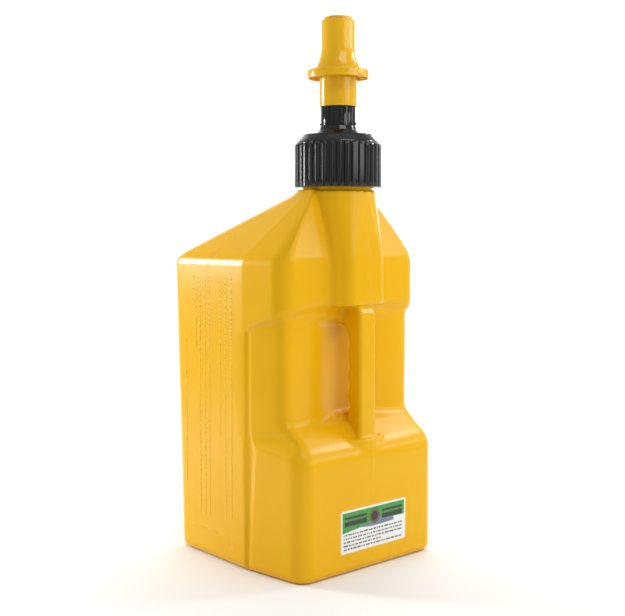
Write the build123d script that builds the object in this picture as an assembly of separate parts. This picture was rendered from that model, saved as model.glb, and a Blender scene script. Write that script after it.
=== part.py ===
from build123d import *
import math
import os

# Fuel jug with a screw-on quick-fill nozzle.  Millimetres, +Z up, handle towards -Y,
# X = 0 is the plane of symmetry.  The origin is the middle of the footprint's box, on the floor.

# ---------------------------------------------------------------- driving dimensions
# Jug body.  Each rise is measured from the level named before it.
jug_width = 245.0           # widest, at the front end of the side panels
jug_depth = 270.0           # front of the lower block to the top of the rear wall
rear_lean = 15.0            # the rear wall leans out this much on its way up
wall = 3.0                  # moulded wall thickness
block_height = 149.0        # lower front block, from the floor to its front top edge
ledge_rise = 37.0           # sloping ledge on top of the block, up to its back
recess_rise = 123.0         # ledge's back to the arched underside of the upper wall, at the sides
arch_rise = 22.0            # the arch's middle, above its sides
upper_rise = 75.0           # arch's sides to the top edge of the side panels
roof_rise = 83.0            # side panels' top edge to the neck
panel_front = 103.0         # front edge of the side panels, behind the block's front
panel_taper = 7.5           # degrees by which each side panel turns in towards the rear
upper_setback = 32.5        # upper front wall, behind the block's front
recess_setback = 39.0       # recess wall, behind the block's front
recess_inset = 2.5          # recess sides, inside the widest part
corner_radius = 22.0        # upright corners
smallest_radius = 1.0       # least rounding inside a wall
side_arc = 1.0              # degrees of the neck's circle that each flat side of the roof runs up to
base_edge = 10.0            # rounding of the bottom edge
groove_radius = 6.0         # upright groove in front of each side panel
groove_depth = 3.0
groove_gap = 9.0            # groove's middle, in front of the panel's edge

# Handle
pilaster_front_half = 34.0  # half widths of the broad rib that runs down from the neck
pilaster_root_half = 45.0
pilaster_corner = 9.0
pilaster_tuck = 1.5         # rib's top, inside the shoulder ring
rib_setback = 7.5           # front of the broad rib and of the grip, behind the block's front
grip_width = 29.0
grip_depth = 24.0
grip_corner = 5.0
hole_foot_gap = 2.0         # hand hole's lowest point, above the ledge's back
hole_top_gap = 5.0          # its highest point, below the arch's sides
hole_corner = 12.0          # rounding of the hole's corners, seen from the side
scallop_count = 4
scallop_pitch = 27.0
scallop_depth = 3.5
scallop_drop = 6.0          # middle of the row of finger grooves, below the middle of the hole
scoop_depth = 21.0          # finger scoop in the recess wall, behind the grip
scoop_half = 60.0
scoop_corner = 12.0
tongue_radius = 24.0        # round pad at the grip's foot
tongue_setback = 18.0       # its middle, behind the grip's front
tongue_rise = 11.0          # its top, above the block's front top edge
tongue_edge = 3.0
bury = 20.0                 # how far a piece of the form runs on inside its neighbour

# Neck and screw thread
neck_root_radius = 43.0
neck_wall = 4.0
neck_length = 59.0
shoulder_ring = 5.0         # roof's upper edge, outside the neck
neck_set_in = 12.0          # front of that edge, behind the block's front
thread_pitch = 6.0
thread_depth = 2.0
thread_root = 2.2           # ridge's width at its root
thread_crest = 1.0          # ridge's width at its crest
thread_sink = 0.4           # root of a ridge, inside the wall
thread_turns = 2.0
thread_play = 0.8           # radial gap between a crest and the facing wall
thread_drop = 34.0          # lowest turn on the neck, below its rim

# Front label
label_width = 119.0
label_height = 52.5
label_foot = 26.5
label_middle = 2.5          # the label was stuck on slightly off centre
label_thickness = 0.3
label_corner = 3.0

# Collar
collar_wall = 6.1           # between its bore and the foot of its ribs
collar_gap = 5.0            # its foot, above the roof's upper edge
collar_shoulder = 10.5      # top of the ribs, below the collar's top
collar_bevel = 9.0          # top's edge, inside the outside of the ribs
eye_play = 3.0              # gap round the nozzle's cone
lip_thickness = 4.0
rib_count = 36
rib_depth = 2.6
rib_share = 0.55            # share of the pitch that a rib takes

# Nozzle base
gasket_thickness = 2.0
flange_thickness = 5.5
flange_play = 1.6           # flange's edge to the collar's bore
cone_spread = 6.4           # cone's foot, outside the stalk
cone_lip = 0.6              # cone's top, outside the stalk
cone_rise = 11.0            # cone's top, above the collar's top
cone_foot_rise = 1.0        # plain foot below the cone, above the collar's top
cone_turn = 5.0             # where the cone turns upright, below its top
cone_turn_out = 1.0         # and outside its top
stalk_radius = 21.6         # splined tube that the sleeve slides on
stalk_wall = 3.2
stalk_play = 6.8            # stalk's top to the washer, with the sleeve pushed fully home
spline_count = 24
spline_depth = 0.9
tab_count = 6
tab_rise = 2.6
tab_size = 2.4
spider_rise = 3.5           # top of the webs that hold the stem, above the cone's top
spider_thickness = 5.0
spider_arms = 3
arm_width = 5.0
hub_radius = 10.0
hub_height = 10.0

# Sliding sleeve
sleeve_play = 0.3           # sleeve's bore to the stalk
sleeve_wall = 1.6
sleeve_travel = 18.0
stop_play = 2.3             # skirt to the tabs, with the sleeve pushed fully home
skirt_length = 34.9
shroud_overhang = 9.1       # round stop flange, outside the flare's foot
shroud_height = 10.0
shroud_skin = 2.4
shroud_ribs = 12
shroud_rib_thickness = 1.6
seat_rise = 2.5             # shoulder inside the sleeve that the spring pushes, above the flange
flare_spread = 6.2          # flare's foot, outside the skirt
flare_rise = 26.5
flare_waist = 0.28          # flare's middle: share of its spread, and how far below the half height
flare_sag = 1.0
tip_inset = 0.6             # spout, inside the stalk's radius
tip_wall = 2.6
tip_length = 35.0
tip_lead = 1.2              # chamfer at the mouth

# Stem, seals, spring and vent
stem_radius = 6.0
stem_bore = 4.0
stem_tail = 32.0            # stem's foot, below the top of the webs
stem_fit = 0.05
head_play = 0.4             # head's plug to the sleeve's mouth
head_brim = 0.2             # head's edge, inside its plug
head_rise = 6.0             # head's top, above the mouth
head_dome = 2.2
plug_length = 11.0          # head's foot, below the mouth
plug_lead = 3.0             # heights and inset of the plug's tapered foot
plug_taper = 4.0
seal_play = 0.1             # seals to the bores that they wipe
tip_seal_depth = 1.0        # below the mouth
tip_seal_wire = 1.1         # section radius
stalk_seal_depth = 6.0      # below the stalk's top
stalk_seal_wire = 1.2
nut_radius = 9.5
nut_height = 7.0
washer_thickness = 1.2
washer_lap = 1.6            # washer's bore, inside the middle of the spring's wire
washer_play = 0.3
spring_play = 2.2           # middle of the spring's wire, inside the stalk's bore
spring_wire = 0.9           # wire radius
spring_turns = 8.0
vent_radius = 6.4
vent_wall = 1.2
vent_length = 120.0
vent_overlap = 8.0          # length pushed on to the stem's tail
clip_width = 5.0
clip_thickness = 1.0
clip_ear = 3.5

# ---------------------------------------------------------------- places that follow
half = jug_width / 2
front = -jug_depth / 2
rear_top = front + jug_depth
rear_foot = rear_top - rear_lean
ledge_height = block_height + ledge_rise
arch_side_height = ledge_height + recess_rise
arch_mid_height = arch_side_height + arch_rise
shoulder_height = arch_side_height + upper_rise
neck_foot_height = shoulder_height + roof_rise
neck_top = neck_foot_height + neck_length
shoulder_ring_radius = neck_root_radius + shoulder_ring
neck_y = front + neck_set_in + shoulder_ring_radius
panel_y = front + panel_front
recess_y = front + recess_setback
upper_y = front + upper_setback
scoop_y = recess_y + scoop_depth
grip_front = front + rib_setback
grip_rear = grip_front + grip_depth
hole_foot = ledge_height + hole_foot_gap
hole_height = arch_side_height - hole_top_gap - hole_foot
hole_middle = hole_foot + hole_height / 2
neck_bore = neck_root_radius - neck_wall
neck_thread_foot = neck_top - thread_drop
collar_bore = neck_root_radius + thread_depth + thread_play
collar_core_radius = collar_bore + collar_wall
collar_radius = collar_core_radius + rib_depth
collar_foot = neck_foot_height + collar_gap
flange_foot = neck_top + gasket_thickness
flange_top = flange_foot + flange_thickness
collar_top = flange_top + lip_thickness
collar_rib_top = collar_top - collar_shoulder
cone_foot_radius = stalk_radius + cone_spread
cone_top_radius = stalk_radius + cone_lip
cone_top = collar_top + cone_rise
spider_height = cone_top + spider_rise
stalk_bore = stalk_radius - stalk_wall
sleeve_bore = stalk_radius + sleeve_play
skirt_radius = sleeve_bore + sleeve_wall
sleeve_foot = cone_top + tab_rise + tab_size / 2 + sleeve_travel + stop_play
shroud_foot = sleeve_foot + skirt_length
shroud_top = shroud_foot + shroud_height
flare_root_radius = skirt_radius + flare_spread
shroud_radius = flare_root_radius + shroud_overhang
flare_top = shroud_top + flare_rise
tip_radius = stalk_radius - tip_inset
tip_bore = tip_radius - tip_wall
tip_top = flare_top + tip_length
seat_height = shroud_top + seat_rise
washer_foot = seat_height - washer_thickness
stalk_top = washer_foot - sleeve_travel - stalk_play
collar_thread_foot = neck_thread_foot - thread_pitch / 2
tip_seal_height = tip_top - tip_seal_depth
tip_seal_middle = tip_bore - seal_play - tip_seal_wire
stalk_seal_height = stalk_top - stalk_seal_depth
stalk_seal_middle = sleeve_bore - seal_play - stalk_seal_wire
spring_radius = stalk_bore - spring_play
stem_foot = spider_height - stem_tail
vent_foot = stem_foot - vent_length


def grown(radius, inset):
    """Radius of an outside corner, seen from inside a wall."""
    return max(radius - inset, smallest_radius)


def plan(front_y, front_half, back_y, z, inset):
    """Plan at one height, set in by a wall: straight front, sides that narrow towards the back."""
    side = half - inset
    back = back_y - inset
    back_half = side - max(back - panel_y, 0) * math.tan(math.radians(panel_taper))
    points = [(-front_half + inset, front_y + inset), (front_half - inset, front_y + inset)]
    points += [(side, panel_y), (back_half, back), (-back_half, back), (-side, panel_y)]
    face = make_face(Polyline(*points, close=True))
    face = fillet(face.vertices().group_by(Axis.Y)[0], grown(corner_radius, inset))
    face = fillet(face.vertices().group_by(Axis.Y)[-1], grown(corner_radius, inset))
    return Pos(0, 0, z) * face


def front_plan(front_y, front_half, z, inset):
    """Plan of the part in front of the side panels."""
    points = [(-front_half + inset, front_y + inset), (front_half - inset, front_y + inset)]
    points += [(half - inset, panel_y), (-half + inset, panel_y)]
    face = make_face(Polyline(*points, close=True))
    face = fillet(face.vertices().group_by(Axis.Y)[0], grown(corner_radius, inset))
    return Pos(0, 0, z) * face


def neck_ring(face, radius, z):
    """Circle round the neck, as one long arc over each corner of a plan and a short one over each side."""
    edges = face.faces()[0].outer_wire().order_edges()
    marks = []
    for before, edge in zip([edges[-1], *edges], edges):
        along = before % 1 + edge % 0
        side = (before.geom_type == GeomType.LINE) - (edge.geom_type == GeomType.LINE)
        marks.append(math.degrees(math.atan2(-along.X, along.Y)) + side * side_arc)
    arcs = []
    for mark, following in zip(marks, [*marks[1:], marks[0]]):
        arcs.append(CenterArc((0, neck_y), radius, mark, (following - mark) % 360))
    return Pos(0, 0, z) * make_face(arcs)


def rear_at(z):
    """Y of the leaning rear wall."""
    return rear_foot + rear_lean * z / shoulder_height


def rounded_base(solid, inset):
    """Rounds the bottom edge."""
    return fillet(solid.faces().sort_by(Axis.Z)[0].edges(), grown(base_edge, inset))


def main_form(inset):
    """Tall body with its hipped roof, as if it had no recess."""
    foot = plan(upper_y, half, rear_at(inset), inset, inset)
    top = plan(upper_y, half, rear_at(shoulder_height), shoulder_height, inset)
    radius = neck_bore if inset else shoulder_ring_radius
    ring = neck_ring(top, radius, neck_foot_height - inset)
    walls = rounded_base(loft([foot, top], ruled=True), inset)
    return walls + loft([top, ring], ruled=True)


def arch_prism(inset):
    """Space under the arched edge of the upper wall, in front of the side panels."""
    low = ledge_height - bury
    side = arch_side_height + inset
    arch = ThreePointArc((half, side), (0, arch_mid_height + inset), (-half, side))
    reach = half + bury
    points = [(-half, side), (-reach, side), (-reach, low), (reach, low), (reach, side), (half, side)]
    sides = Polyline(*points)
    profile = make_face([arch, *sides.edges()])
    length = panel_y - front + bury
    return Plane.XZ.offset(-panel_y) * extrude(profile, length)


def recess_core(inset):
    """Narrower middle of the jug, between the ledge and the arch."""
    core = front_plan(recess_y, half - recess_inset, 0, inset)
    core = extrude(core, neck_foot_height)
    scoop_radius = (scoop_half ** 2 + scoop_depth ** 2) / (2 * scoop_depth)
    scoop = Pos(0, scoop_y - scoop_radius, hole_middle)
    scoop *= Cylinder(scoop_radius + inset, hole_height + 2 * inset)
    ends = scoop.faces().filter_by(GeomType.PLANE).edges()
    return core - fillet(ends, scoop_corner + inset)


def block_form(inset):
    """Lower front block and the sloping ledge on top of it."""
    foot = front_plan(front, half, inset, inset)
    brow = front_plan(front, half, block_height - inset / 2, inset)
    back = front_plan(recess_y, half - recess_inset, ledge_height - inset / 2, inset)
    return rounded_base(loft([foot, brow], ruled=True), inset) + loft([brow, back], ruled=True)


def pilaster_plan(z, inset):
    """Plan of the broad rib under the neck."""
    y = front + rib_setback + inset
    points = [(-pilaster_front_half + inset, y), (pilaster_front_half - inset, y)]
    points += [(pilaster_root_half - inset, upper_y), (pilaster_root_half - inset, neck_y)]
    points += [(-pilaster_root_half + inset, neck_y), (-pilaster_root_half + inset, upper_y)]
    face = make_face(Polyline(*points, close=True))
    face = fillet(face.vertices().group_by(Axis.Y)[0], grown(pilaster_corner, inset))
    return Pos(0, 0, z) * face


def pilaster_form(inset):
    """Broad rib that runs down from the neck to the arch."""
    foot = pilaster_plan(arch_side_height - bury, inset)
    top = pilaster_plan(shoulder_height, inset)
    radius = (neck_bore if inset else shoulder_ring_radius) - pilaster_tuck
    ring = Pos(0, neck_y, neck_foot_height - inset - pilaster_tuck) * make_face(Circle(radius).edge())
    return loft([foot, top], ruled=True) + loft([top, ring], ruled=True)


def hand_hole(inset):
    """Hand hole seen from the side, with finger grooves on the grip's side, cut along X."""
    length = scoop_y - grip_rear + 2 * inset + bury
    height = hole_height + 2 * inset
    hole = Pos(grip_rear - inset + length / 2, hole_middle) * RectangleRounded(length, height, hole_corner)
    radius = (scallop_pitch ** 2 / 4 + scallop_depth ** 2) / (2 * scallop_depth)
    grooves = Sketch()
    for i in range(scallop_count):
        z = hole_middle - scallop_drop + (i - (scallop_count - 1) / 2) * scallop_pitch
        grooves += Pos(grip_rear - scallop_depth + radius, z) * Circle(radius + inset)
    grooves &= Pos(grip_rear, hole_middle) * Rectangle(4 * scallop_depth, height - 2 * hole_corner)
    return Plane.YZ.offset(-half) * extrude(hole + grooves, jug_width)


def grip_form(inset):
    """Upright grip, with the webs that join it to the jug above and below the hand hole."""
    low = block_height - bury
    high = arch_mid_height + bury
    depth = scoop_y + bury - grip_front - inset
    bar = Pos(0, grip_front + inset + depth / 2, (low + high) / 2)
    bar *= Box(grip_width - 2 * inset, depth, high - low)
    edges = bar.edges().filter_by(Axis.Z).group_by(Axis.Y)[0]
    return fillet(edges, grown(grip_corner, inset)) - hand_hole(inset)


def tongue_form(inset):
    """Round pad at the grip's foot."""
    height = block_height / 2 + tongue_rise - inset
    pad = Pos(0, grip_front + tongue_setback, block_height / 2 + height / 2)
    pad *= Cylinder(tongue_radius - inset, height)
    return fillet(pad.faces().sort_by(Axis.Z)[-1].edges(), tongue_edge)


def grooves_form(inset):
    """Upright grooves in front of the side panels."""
    height = arch_side_height + inset + 2 * base_edge
    grooves = Part()
    for side in (-1, 1):
        x = side * (half + groove_radius - groove_depth)
        rod = Pos(x, panel_y - groove_gap, height / 2 - base_edge) * Cylinder(groove_radius + inset, height)
        grooves += fillet(rod.faces().sort_by(Axis.Z)[-1].edges(), groove_radius / 2)
    return grooves


def jug_form(inset):
    """Whole jug below the neck, set in by a wall."""
    form = main_form(inset) + pilaster_form(inset)
    form -= arch_prism(inset) - recess_core(inset)
    form += block_form(inset)
    form += tongue_form(inset)
    form += grip_form(inset)
    return form - grooves_form(inset)


def thread_ridge(root_radius, depth, foot, turns):
    """Helical ridge that stands out of a wall, outwards for a positive depth."""
    sink = -math.copysign(thread_sink, depth)
    helix = Helix(pitch=thread_pitch, height=turns * thread_pitch, radius=root_radius)
    points = [(sink, -thread_root / 2), (depth, -thread_crest / 2)]
    points += [(depth, thread_crest / 2), (sink, thread_root / 2)]
    profile = Plane.XZ * Pos(root_radius, 0) * make_face(Polyline(*points, close=True))
    ridge = sweep(profile, path=helix, is_frenet=True)
    return Pos(0, neck_y, foot) * ridge


def make_jug_body():
    low = neck_foot_height - wall
    middle = Pos(0, neck_y, (low + neck_top) / 2)
    outside = jug_form(0) + middle * Cylinder(neck_root_radius, neck_top - low)
    cavity = jug_form(wall) + middle * Cylinder(neck_bore, neck_top - low)
    return outside - cavity + thread_ridge(neck_root_radius, thread_depth, neck_thread_foot, thread_turns)


def make_label():
    """Thin label on the lower block's front."""
    sheet = extrude(RectangleRounded(label_width, label_height, label_corner), label_thickness)
    middle = (label_middle, front, label_foot + label_height / 2)
    return Plane(origin=middle, x_dir=(1, 0, 0), z_dir=(0, -1, 0)) * sheet


def turned(points):
    """Solid of revolution about the neck's axis, from a closed (radius, height) outline."""
    profile = Plane.XZ * make_face(Polyline(*points, close=True))
    return Pos(0, neck_y, 0) * revolve(profile, Axis.Z)


def around(count):
    """Places spread evenly round the neck's axis."""
    return [Pos(0, neck_y, 0) * Rot(0, 0, i * 360 / count) for i in range(count)]


def make_collar():
    """Ribbed screw collar whose lip holds the nozzle's flange down on the neck."""
    eye = cone_foot_radius + eye_play
    shell = turned([
        (collar_bore, collar_foot), (collar_core_radius, collar_foot),
        (collar_core_radius, collar_rib_top), (collar_radius - collar_bevel, collar_top),
        (eye, collar_top), (eye, flange_top), (collar_bore, flange_top),
    ])
    width = 2 * math.pi * collar_radius / rib_count * rib_share
    rib_height = collar_rib_top - collar_foot
    rib = Pos(collar_core_radius, 0, collar_foot + rib_height / 2) * Box(2 * rib_depth, width, rib_height)
    rib = chamfer(rib.edges().filter_by(Axis.Z).group_by(Axis.X)[-1], rib_depth / 3)
    rib = chamfer(rib.faces().sort_by(Axis.X)[-1].edges().filter_by(Axis.Y), rib_depth / 2)
    for place in around(rib_count):
        shell += place * rib
    return shell + thread_ridge(collar_bore, -thread_depth, collar_thread_foot, thread_turns)


def make_gasket():
    """Flat ring between the neck's rim and the nozzle's flange."""
    return turned([
        (neck_bore, neck_top), (neck_root_radius, neck_top),
        (neck_root_radius, flange_foot), (neck_bore, flange_foot),
    ])


def seal_ring(radius, height, wire):
    """Round-section ring about the neck's axis."""
    return Pos(0, neck_y, height) * Torus(radius, wire)


def make_nozzle_base():
    """Flange, cone and splined stalk in one moulding, with the webs that hold the stem."""
    flange_radius = collar_bore - flange_play
    bore_foot = cone_foot_radius - stalk_wall
    spline_foot_radius = stalk_radius - spline_depth
    spline_length = sleeve_foot - cone_top
    base = turned([
        (bore_foot, flange_foot), (flange_radius, flange_foot), (flange_radius, flange_top),
        (cone_foot_radius, flange_top), (cone_foot_radius, collar_top + cone_foot_rise),
        (cone_top_radius + cone_turn_out, cone_top - cone_turn), (cone_top_radius, cone_top),
        (spline_foot_radius, cone_top), (spline_foot_radius, stalk_top), (stalk_bore, stalk_top),
        (stalk_bore, cone_top - stalk_wall), (bore_foot, flange_top),
    ])
    width = math.pi * stalk_radius / spline_count
    spline = Pos(spline_foot_radius, 0, cone_top + spline_length / 2)
    spline *= Box(2 * spline_depth, width, spline_length)
    for place in around(spline_count):
        base += place * spline
    tab = Pos(cone_top_radius, 0, cone_top + tab_rise) * Box(tab_size, 2 * tab_size, tab_size)
    for place in around(tab_count):
        base += place * tab
    base += turned([
        (stalk_bore, sleeve_foot), (stalk_radius, sleeve_foot),
        (stalk_radius, stalk_top), (stalk_bore, stalk_top),
    ])
    arm_length = (stalk_bore + spline_foot_radius) / 2 - hub_radius / 2
    arm = Pos(hub_radius / 2 + arm_length / 2, 0, spider_height - spider_thickness / 2)
    arm *= Box(arm_length, arm_width, spider_thickness)
    for place in around(spider_arms):
        base += place * arm
    hub = Pos(0, neck_y, spider_height - hub_height / 2)
    base += hub * Cylinder(hub_radius, hub_height)
    base -= hub * Cylinder(stem_radius + stem_fit, 2 * hub_height)
    return base - seal_ring(stalk_seal_middle, stalk_seal_height, stalk_seal_wire)


def make_stalk_seal():
    """Ring seal in the stalk's groove."""
    return seal_ring(stalk_seal_middle, stalk_seal_height, stalk_seal_wire)


def make_sleeve():
    """Spring-loaded sleeve: skirt, hollow stop flange, flared spout."""
    skirt_top = shroud_top - shroud_skin
    waist = tip_radius + flare_waist * (flare_root_radius - tip_radius)
    flare = ThreePointArc(
        (flare_root_radius, shroud_top),
        (waist, shroud_top + flare_rise / 2 - flare_sag),
        (tip_radius, flare_top),
    )
    outside = Polyline(
        (tip_radius, flare_top), (tip_radius, tip_top - tip_lead), (tip_radius - tip_lead, tip_top),
        (tip_bore, tip_top), (tip_bore, seat_height), (sleeve_bore, seat_height),
        (sleeve_bore, sleeve_foot), (skirt_radius, sleeve_foot), (skirt_radius, skirt_top),
        (shroud_radius - shroud_skin, skirt_top), (shroud_radius - shroud_skin, shroud_foot),
        (shroud_radius, shroud_foot), (shroud_radius, shroud_top), (flare_root_radius, shroud_top),
    )
    profile = Plane.XZ * make_face([flare, *outside.edges()])
    sleeve = Pos(0, neck_y, 0) * revolve(profile, Axis.Z)
    length = shroud_radius - skirt_radius - shroud_skin / 2
    height = skirt_top - shroud_foot - shroud_skin / 2
    rib = Pos(skirt_radius + length / 2, 0, skirt_top - height / 2)
    rib *= Box(length + shroud_skin / 2, shroud_rib_thickness, height + shroud_skin / 2)
    for place in around(shroud_ribs):
        sleeve += place * rib
    return sleeve


def make_stem():
    """Hollow stem with the domed head that closes the spout."""
    plug_radius = tip_bore - head_play
    brim = plug_radius - head_brim
    head_foot = tip_top - plug_length
    head_top = tip_top + head_rise
    shelf = tip_seal_height + tip_seal_wire
    groove_floor = tip_seal_middle - tip_seal_wire
    side = Polyline(
        (stem_bore, stem_foot), (stem_radius, stem_foot), (stem_radius, head_foot),
        (plug_radius - plug_taper, head_foot + plug_lead), (plug_radius, head_foot + 2 * plug_lead),
        (plug_radius, tip_seal_height - tip_seal_wire), (groove_floor, tip_seal_height - tip_seal_wire),
        (groove_floor, shelf), (brim, shelf), (brim, head_top - head_dome),
    )
    dome_radius = (brim ** 2 + head_dome ** 2) / (2 * head_dome)
    dome = RadiusArc((brim, head_top - head_dome), (stem_bore, head_top), -dome_radius)
    bore = Line((stem_bore, head_top), (stem_bore, stem_foot))
    profile = Plane.XZ * make_face([*side.edges(), dome, bore])
    return Pos(0, neck_y, 0) * revolve(profile, Axis.Z)


def make_tip_seal():
    """Ring seal under the head, in the spout's mouth."""
    return seal_ring(tip_seal_middle, tip_seal_height, tip_seal_wire)


def make_stem_nut():
    """Hexagon nut that holds the stem down on the webs' hub."""
    foot = spider_height - hub_height - nut_height
    nut = extrude(RegularPolygon(nut_radius, 6), nut_height)
    nut -= Cylinder(stem_radius + stem_fit, 4 * nut_height)
    return Pos(0, neck_y, foot) * nut


def make_stem_washer():
    """Shoulder ring on the stem, above the hub."""
    inner = stem_radius + stem_fit
    top = spider_height + washer_thickness
    return turned([(inner, spider_height), (hub_radius, spider_height), (hub_radius, top), (inner, top)])


def make_spring_washer():
    """Flat ring between the spring and the shoulder inside the sleeve."""
    inner = spring_radius - washer_lap
    outer = sleeve_bore - washer_play
    return turned([(inner, washer_foot), (outer, washer_foot), (outer, seat_height), (inner, seat_height)])


def make_spring():
    """Coil spring between the webs and the washer."""
    foot = spider_height + spring_wire
    height = washer_foot - spring_wire - foot
    helix = Helix(pitch=height / spring_turns, height=height, radius=spring_radius)
    section = Plane(origin=helix @ 0, z_dir=helix % 0) * Circle(spring_wire)
    return Pos(0, neck_y, foot) * sweep(section, path=helix, is_frenet=True)


def make_vent_pipe():
    """Stiff tube that leads air from the stem to the bottom of the jug."""
    top = stem_foot + vent_overlap
    socket = stem_radius + vent_wall
    return turned([
        (stem_bore, vent_foot), (vent_radius, vent_foot), (vent_radius, stem_foot), (socket, stem_foot),
        (socket, top), (stem_radius, top), (stem_radius, stem_foot), (stem_bore, stem_foot),
    ])


def make_vent_clip():
    """Spring clip that grips the vent pipe on the stem's tail."""
    inner = stem_radius + vent_wall
    outer = inner + clip_thickness
    middle = stem_foot + vent_overlap / 2
    ring = Cylinder(outer, clip_width) - Cylinder(inner, 2 * clip_width)
    ring -= Pos(0, outer, 0) * Box(clip_thickness, 4 * clip_thickness, 2 * clip_width)
    for side in (-1, 1):
        ear = Pos(side * clip_thickness, outer + clip_ear / 2 - clip_thickness / 2, 0)
        ring += ear * Box(clip_thickness, clip_ear + clip_thickness, clip_width)
    return Pos(0, neck_y, middle) * ring


makers = {
    "jug_body": make_jug_body,
    "front_label": make_label,
    "screw_collar": make_collar,
    "neck_gasket": make_gasket,
    "nozzle_base": make_nozzle_base,
    "stalk_seal": make_stalk_seal,
    "valve_stem": make_stem,
    "stem_washer": make_stem_washer,
    "stem_nut": make_stem_nut,
    "tip_seal": make_tip_seal,
    "slide_sleeve": make_sleeve,
    "spring_washer": make_spring_washer,
    "return_spring": make_spring,
    "vent_pipe": make_vent_pipe,
    "vent_clip": make_vent_clip,
}

os.makedirs("parts", exist_ok=True)
for name, maker in makers.items():
    export_step(maker(), f"parts/{name}.step")
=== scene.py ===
import math
import random

import bmesh
import bpy
import numpy as np
import openvdb
from mathutils import Matrix, Vector


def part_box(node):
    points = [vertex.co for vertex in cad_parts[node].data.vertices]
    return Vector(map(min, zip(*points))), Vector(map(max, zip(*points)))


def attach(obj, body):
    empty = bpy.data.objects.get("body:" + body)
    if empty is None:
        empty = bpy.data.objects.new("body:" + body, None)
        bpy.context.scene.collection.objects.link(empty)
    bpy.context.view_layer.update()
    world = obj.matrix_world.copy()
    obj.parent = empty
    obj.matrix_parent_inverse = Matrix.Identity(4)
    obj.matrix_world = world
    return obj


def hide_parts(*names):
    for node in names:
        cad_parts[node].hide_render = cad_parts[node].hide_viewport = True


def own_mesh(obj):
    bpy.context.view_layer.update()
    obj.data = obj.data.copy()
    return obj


# Fuel jug with a quick-fill nozzle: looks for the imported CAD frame.
# Blender's units are metres.  The jug's shell is worked out on a grid in millimetres and scaled by MM.

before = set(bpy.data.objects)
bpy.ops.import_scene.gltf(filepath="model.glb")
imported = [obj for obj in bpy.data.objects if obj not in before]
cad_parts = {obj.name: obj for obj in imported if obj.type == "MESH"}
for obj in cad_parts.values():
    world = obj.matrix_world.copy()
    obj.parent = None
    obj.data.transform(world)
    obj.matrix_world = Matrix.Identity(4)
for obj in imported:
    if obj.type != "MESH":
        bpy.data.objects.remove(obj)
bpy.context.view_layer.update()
MM = 0.001
scene = bpy.context.scene
rng = random.Random(20)

# ---------------------------------------------------------------- sizes, in millimetres
jug_low, jug_high = (np.array(corner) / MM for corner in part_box("jug_body"))
HALF = float(jug_high[0])                   # widest half
FRONT = float(jug_low[1])                   # lower block's front
NECK_TOP = float(jug_high[2])
REAR_TOP = float(jug_high[1])
tip_low, tip_high = (np.array(corner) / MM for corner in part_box("valve_stem"))
NECK_Y = float(tip_low[1] + tip_high[1]) / 2
WALL = 3.0

# Block, ledge and recess
REAR_LEAN = 15.0
BLOCK_TOP = 149.0
LEDGE_TOP = 186.0
BLOCK_EDGE = 13.0                           # rounding where the ledge meets the block's front, then the wall
LEDGE_FOOT_EDGE = 5.0
BLOCK_SIDE_EDGE = 9.0                       # the same at the side
LEDGE_SIDE_EDGE = 6.0
BASE_EDGE = 10.0
PANEL_Y = FRONT + 103.0                     # front edge of the tapered side panels
TAPER = math.radians(7.5)
UPPER_Y = FRONT + 32.5                      # front of the upper wall
RECESS_Y = FRONT + 39.0
RECESS_INSET = 2.5
CORNER = 22.0

# Arch under the upper wall, and the roof
ARCH_SIDE = 309.0
ARCH_CORNER = 320.0                         # arch at the upright corners, and in the middle
ARCH_MID = 329.5
ARCH_FALL = 0.24                            # its fall behind the corners
ARCH_STEP_FOOT = ARCH_SIDE - 8.0            # where the wall steps out, before it is bent into the arch
ARCH_STEP_TOP = ARCH_SIDE + 2.0
ARCH_FOOT_EDGE = 3.0
ARCH_TOP_EDGE = 3.5
BEND_FOOT = 200.0                           # the arch's bend comes in over a rise, and goes out below the shoulder
BEND_RISE = 40.0
BEND_FALL = 30.0
SHOULDER = 384.0
SHOULDER_SPREAD = 7.0
NECK_FOOT = 467.0
ROOF_LAP = 2.0                              # how far the roof reaches up round the neck
FACET = (0.0, -0.970, 0.243, 192.7)         # flats on the roof beside the rib: direction and distance
FACET_EDGE = 2.0

# Shallow recess and groove at the sides
FLANK_FOOT = 163.0
FLANK_FALL = 0.14
FLANK_SLANT = 0.16
FLANK_GAP = 6.0
FLANK_CORNER = 6.0
FLANK_EDGE = 5.0
FLANK_LIP = 5.0
GROOVE_HEIGHTS = (0.0, FLANK_FOOT - 12.0, FLANK_FOOT + 10.0)
GROOVE_RADII = (3.0, 15.0, 4.5)
GROOVE_DEPTH = 2.6
GROOVE_INSET = 3.5
GROOVE_TOP = ARCH_SIDE - 12.0
GROOVE_END = 3.0
GROOVE_EDGE = 2.5

# Rib and grip
RIB_Y = FRONT + 7.5                         # front of the rib and of the grip
RIB_FRONT_HALF = 37.0
RIB_ROOT_HALF = 43.0
RIB_CORNER = 16.0
RIB_DROP = 3.0                              # how far the rib hangs below the arch
RIB_FOOT_EDGE = 4.0
RIB_ROOT_EDGE = 6.0
GRIP_HALF = 14.5
GRIP_DEPTH = 24.0
GRIP_CORNER = 5.0
GRIP_TUCK = 9.0                             # how far the grip's front runs back under the rib
GRIP_TUCK_RISE = 12.0                       # over what height
GRIP_FOOT = BLOCK_TOP - 15.0
GRIP_TOP = ARCH_MID + 12.0
GRIP_SINK = 10.0                            # how far its webs run into the wall
GRIP_ROOT_EDGE = 6.0
HOLE_FOOT = 188.0
HOLE_TOP = 304.0
HOLE_CORNER = 18.0
HOLE_EDGE = 4.0
SCALLOPS = 4
SCALLOP_PITCH = 27.0
SCALLOP_DEPTH = 3.5
SCALLOP_MIDDLE = 240.0
SCOOP_DEPTH = 15.0
SCOOP_HALF = 64.0
SCOOP_SOFTNESS = 0.4
SCOOP_STEEPNESS = 0.95                      # keeps the slanted scoop's distance near the true one
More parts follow.
